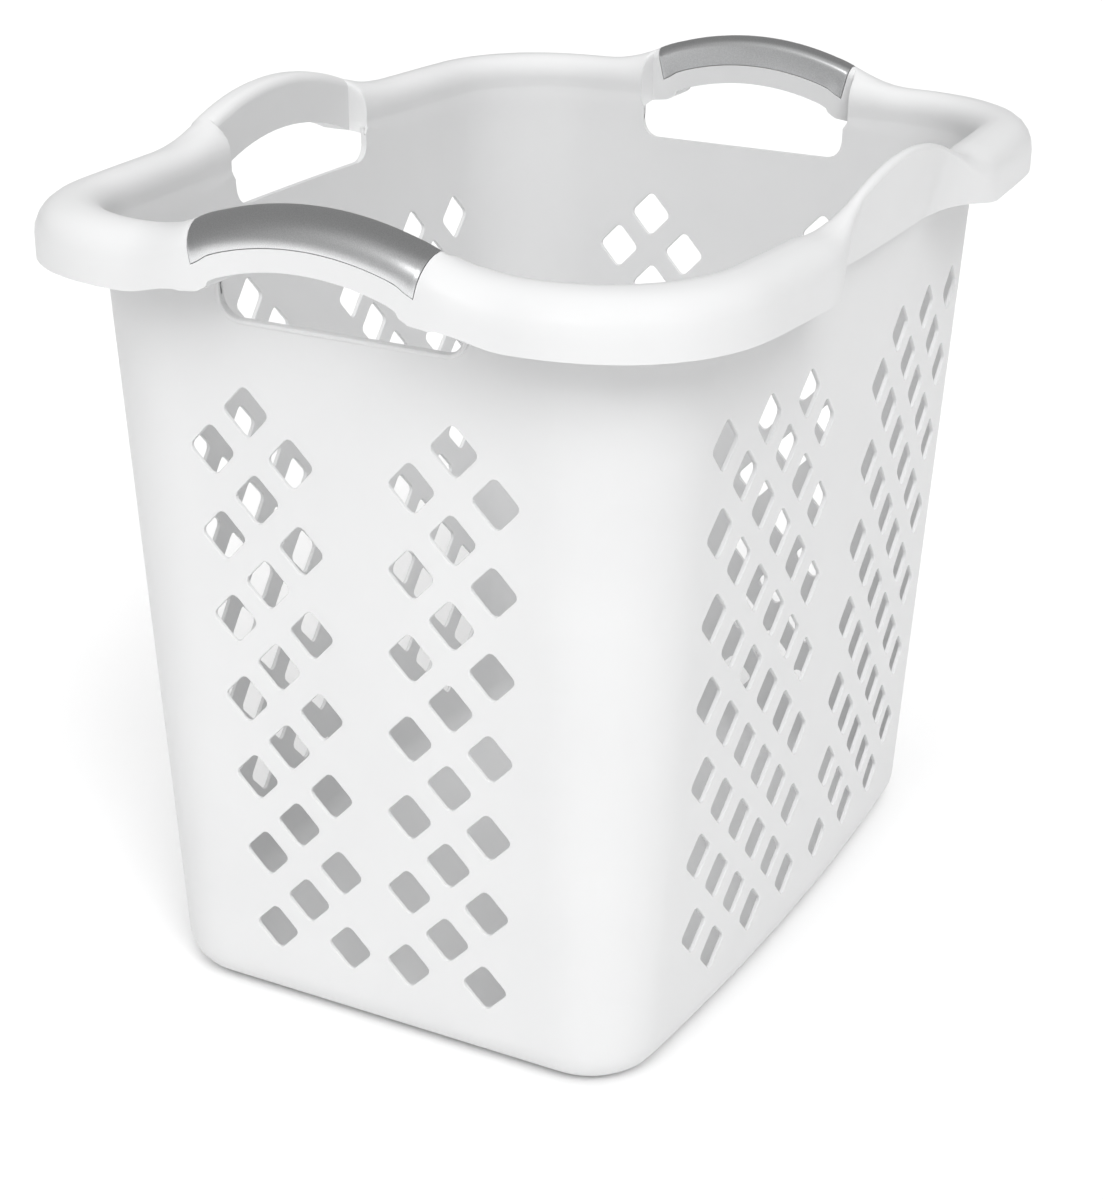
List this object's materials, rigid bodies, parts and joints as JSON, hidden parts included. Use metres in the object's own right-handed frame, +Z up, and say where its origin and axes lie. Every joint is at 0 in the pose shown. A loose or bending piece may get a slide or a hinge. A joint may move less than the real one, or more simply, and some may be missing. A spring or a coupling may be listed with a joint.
{
  "type": "laundry basket",
  "caption": "Tall open-top plastic laundry basket with diamond-pierced walls, a wide rolled rim, a hip-hold side and arched hand grips.",
  "frame": {"origin": "middle of the overall length and width, on the surface that the basket stands on", "axes": "+X along the length towards the right end, -Y towards the hip side, +Z up"},
  "size_m": [0.55, 0.4219, 0.482],
  "materials": {
    "white_plastic": "satin white moulded polypropylene",
    "silver_grip": "satin metallic silver moulded plastic"
  },
  "bodies": {
    "root": {"floor": "white_plastic", "left_end_wall": "white_plastic", "right_end_wall": "white_plastic", "hip_wall": "white_plastic", "back_wall": "white_plastic", "corner_front_left": "white_plastic", "corner_front_right": "white_plastic", "corner_back_left": "white_plastic", "corner_back_right": "white_plastic", "rim_corner_front_left": "white_plastic", "rim_corner_front_right": "white_plastic", "rim_corner_back_left": "white_plastic", "rim_corner_back_right": "white_plastic", "left_rim_front": "white_plastic", "left_rim_back": "white_plastic", "right_rim_front": "white_plastic", "right_rim_back": "white_plastic", "back_rim_left": "white_plastic", "back_rim_right": "white_plastic", "hip_rim_left": "white_plastic", "hip_crest": "white_plastic", "hip_rim_right": "white_plastic", "left_handle_bar": "white_plastic", "right_handle_bar": "white_plastic", "back_handle_bar": "white_plastic", "left_grip": "silver_grip", "right_grip": "silver_grip"}
  },
  "joints": []
}
